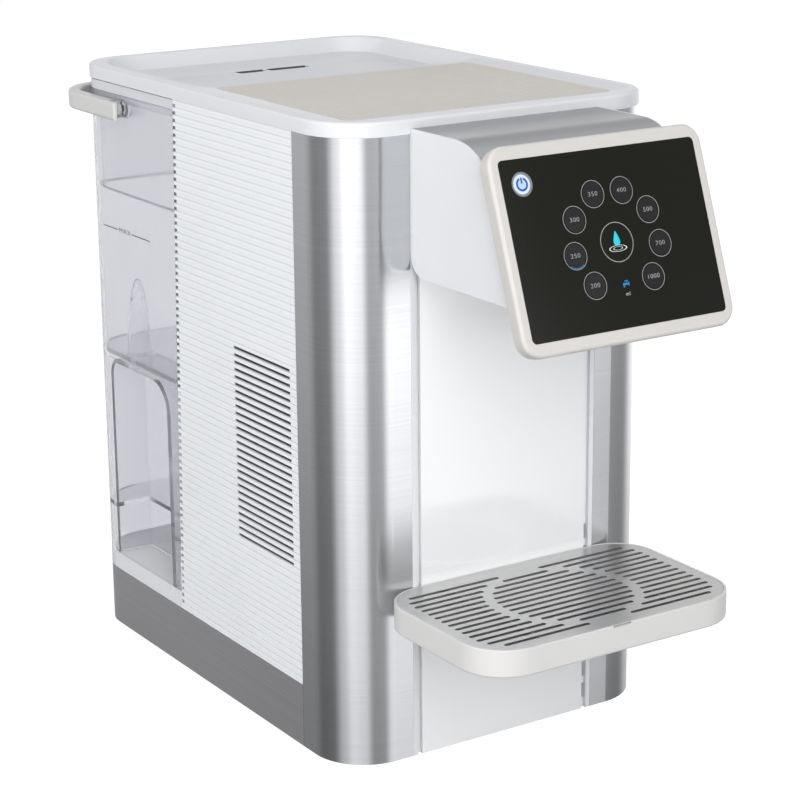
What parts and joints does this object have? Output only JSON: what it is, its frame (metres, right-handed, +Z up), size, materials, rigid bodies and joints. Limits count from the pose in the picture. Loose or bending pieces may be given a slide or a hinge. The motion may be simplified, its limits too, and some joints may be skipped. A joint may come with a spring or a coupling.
{
  "type": "countertop water dispenser",
  "caption": "Countertop water dispenser with a pull-out rear tank, folding tank handle, refill flap, tilted touch display with a button, sliding drip tray and inner chiller and heater.",
  "frame": {"origin": "on the table, below the middle of the whole object's plan box", "axes": "+Z up, the front with the spout and the display faces -Y, +X is the object's own left as seen from behind, right as seen from the front"},
  "size_m": [0.2554, 0.4868, 0.4],
  "materials": {
    "white_shell": "moulded, fine satin",
    "gloss_white": "moulded, polished",
    "warm_white": "moulded, satin",
    "light_grey": "moulded, satin",
    "steel": "brushed along the width",
    "clear_tank": "clear, polished",
    "clear_fitting": "clear, polished",
    "black_glass": "polished, printed on the back",
    "button_white": "lit from behind",
    "silicone": "ribbed, matt",
    "black_rubber": "matt",
    "black_plastic": "moulded",
    "grey_plastic": "moulded",
    "chrome": "bright",
    "plain_steel": "zinc plated",
    "aluminium": "extruded",
    "circuit": "lacquered",
    "foam": "foam, skinned",
    "cartridge_white": "moulded",
    "hose_clear": "translucent silicone"
  },
  "bodies": {
    "body": {"base_pan": "grey_plastic", "rubber_feet": "black_rubber", "base_screws": "plain_steel", "plinth_band": "steel", "column_left": "steel", "column_right": "steel", "side_panel_left": "white_shell", "side_panel_right": "white_shell", "tank_sill": "white_shell", "tank_dock": "light_grey", "bulkhead": "white_shell", "dock_probe": "grey_plastic", "probe_seal": "black_rubber", "top_slab": "white_shell", "top_mat": "silicone", "flap_pins": "plain_steel", "front_panel": "gloss_white", "channel_left": "white_shell", "channel_right": "white_shell", "head_shell": "white_shell", "head_cover": "steel", "spout": "chrome", "spout_nut": "plain_steel", "spout_valve": "grey_plastic", "display_bezel": "warm_white", "display_back": "warm_white", "display_glass": "black_glass", "button_ring": "chrome", "display_board": "circuit", "equipment_frame": "plain_steel", "fan_frame": "black_plastic", "heatsink": "aluminium", "cooler_module": "cartridge_white", "cold_tank": "foam", "heater": "plain_steel", "heater_cutouts": "plain_steel", "pump": "grey_plastic", "flow_meter": "grey_plastic", "manifold": "grey_plastic", "hoses": "hose_clear", "power_supply": "circuit", "control_board": "circuit", "mains_inlet": "black_plastic", "wiring": "black_rubber"},
    "tank": {"tank_shell": "clear_tank", "tank_divider": "clear_tank", "tank_lid": "light_grey", "tank_collar": "clear_tank", "filter_cartridge": "cartridge_white", "overflow_cone": "clear_fitting", "valve_cage": "clear_fitting", "handle_pins": "plain_steel"},
    "handle": {"tank_handle": "white_shell", "handle_hubs": "clear_fitting"},
    "valve": {"outlet_valve": "grey_plastic"},
    "flap": {"refill_flap": "light_grey"},
    "tray": {"drip_tray": "warm_white"},
    "grille": {"drip_grille": "steel"},
    "button": {"power_button": "button_white"},
    "fan": {"fan_rotor": "black_plastic"}
  },
  "joints": [
    {"name": "tank_slide", "type": "slide", "parent": "body", "child": "tank", "axis": [0, 1, 0], "range_m": [0, 0.17]},
    {"name": "handle_swing", "type": "hinge", "parent": "tank", "child": "handle", "pos_m": [0, 0.1557, 0.375], "axis": [1, 0, 0], "range_deg": [0, 90]},
    {"name": "outlet_valve", "type": "slide", "parent": "tank", "child": "valve", "axis": [0, 1, 0], "range_m": [-0.003, 0]},
    {"name": "refill_flap", "type": "hinge", "parent": "body", "child": "flap", "pos_m": [0, 0.0698, 0.3869], "axis": [1, 0, 0], "range_deg": [0, 90]},
    {"name": "tray_height", "type": "slide", "parent": "body", "child": "tray", "axis": [0, 0, 1], "range_m": [-0.0945, 0.0148]},
    {"name": "grille_lift", "type": "slide", "parent": "tray", "child": "grille", "axis": [0, 0, 1], "range_m": [0, 0.03]},
    {"name": "power_button", "type": "slide", "parent": "body", "child": "button", "axis": [0, 0.9401, -0.3408], "range_m": [0, 0.0008], "stiffness_N_per_m": 2000},
    {"name": "fan_spin", "type": "hinge", "parent": "body", "child": "fan", "pos_m": [-0.0965, -0.02445, 0.182], "axis": [1, 0, 0], "continuous": true}
  ],
  "couplings": [
    {"joint": "outlet_valve", "follows": "tank_slide", "ratio": -0.0176}
  ]
}
